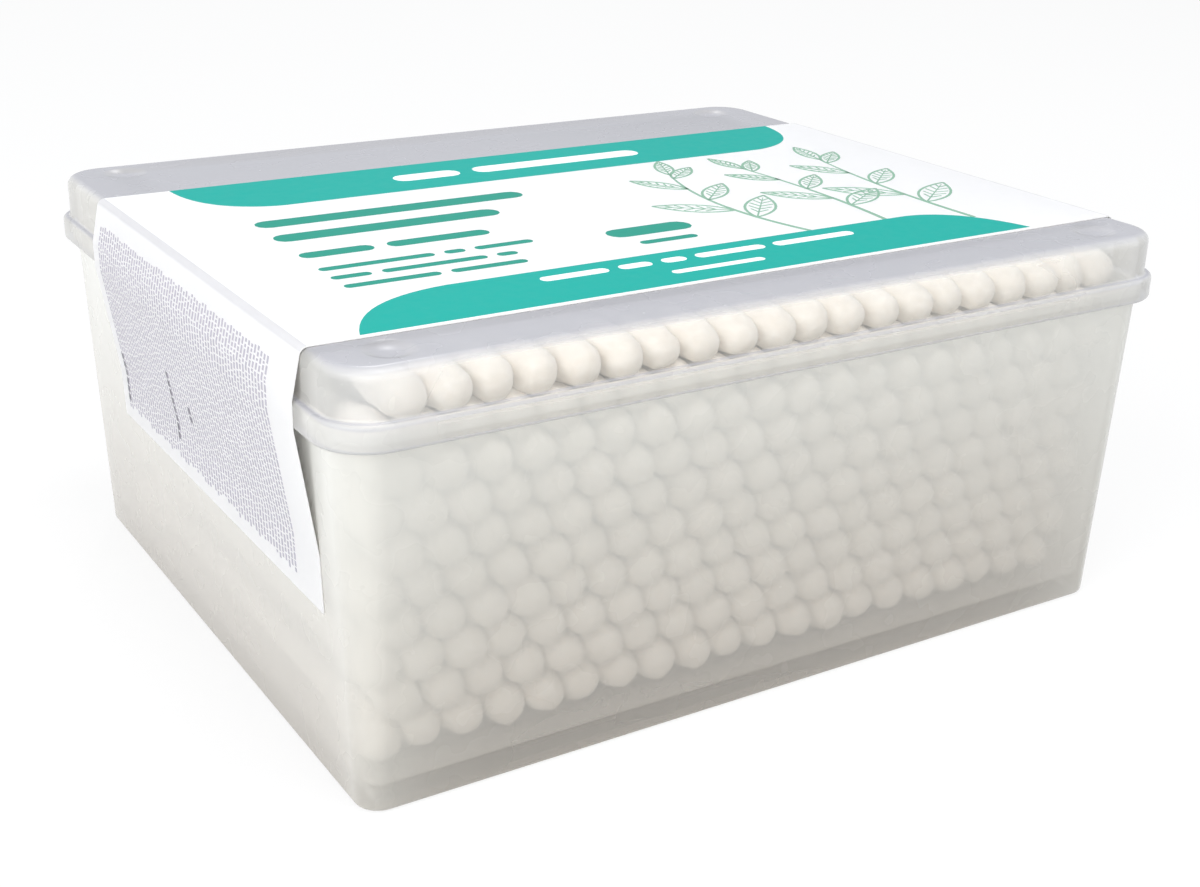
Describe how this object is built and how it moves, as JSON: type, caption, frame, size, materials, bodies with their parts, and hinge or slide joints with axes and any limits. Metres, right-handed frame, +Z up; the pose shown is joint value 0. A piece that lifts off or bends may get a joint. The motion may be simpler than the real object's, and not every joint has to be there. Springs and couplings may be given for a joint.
{
  "type": "cotton swab box",
  "caption": "Frosted clear plastic box with a lid that clips on and a wrap-over paper label, filled with layers of cotton swabs on paper sticks.",
  "frame": {"origin": "centre of the base, on the surface that the box stands on", "axes": "+X along the box's long side, +Y from the front to the back and along the swabs, +Z up"},
  "size_m": [0.1042, 0.0868, 0.0461],
  "materials": {
    "tub_plastic": "frosted translucent polypropylene",
    "lid_plastic": "clear translucent polypropylene",
    "label_paper": "coated, semi-matt",
    "cotton": "matt, soft",
    "stick_paper": "matt"
  },
  "bodies": {
    "root": {"tub": "tub_plastic", "lid": "lid_plastic", "label": "label_paper", "cotton_buds_layer_01": "cotton", "cotton_buds_layer_02": "cotton", "cotton_buds_layer_03": "cotton", "cotton_buds_layer_04": "cotton", "cotton_buds_layer_05": "cotton", "cotton_buds_layer_06": "cotton", "cotton_buds_layer_07": "cotton", "cotton_buds_layer_08": "cotton", "cotton_buds_layer_09": "cotton", "cotton_buds_layer_10": "cotton", "paper_sticks_layer_01": "stick_paper", "paper_sticks_layer_02": "stick_paper", "paper_sticks_layer_03": "stick_paper", "paper_sticks_layer_04": "stick_paper", "paper_sticks_layer_05": "stick_paper", "paper_sticks_layer_06": "stick_paper", "paper_sticks_layer_07": "stick_paper", "paper_sticks_layer_08": "stick_paper", "paper_sticks_layer_09": "stick_paper", "paper_sticks_layer_10": "stick_paper"}
  },
  "joints": []
}
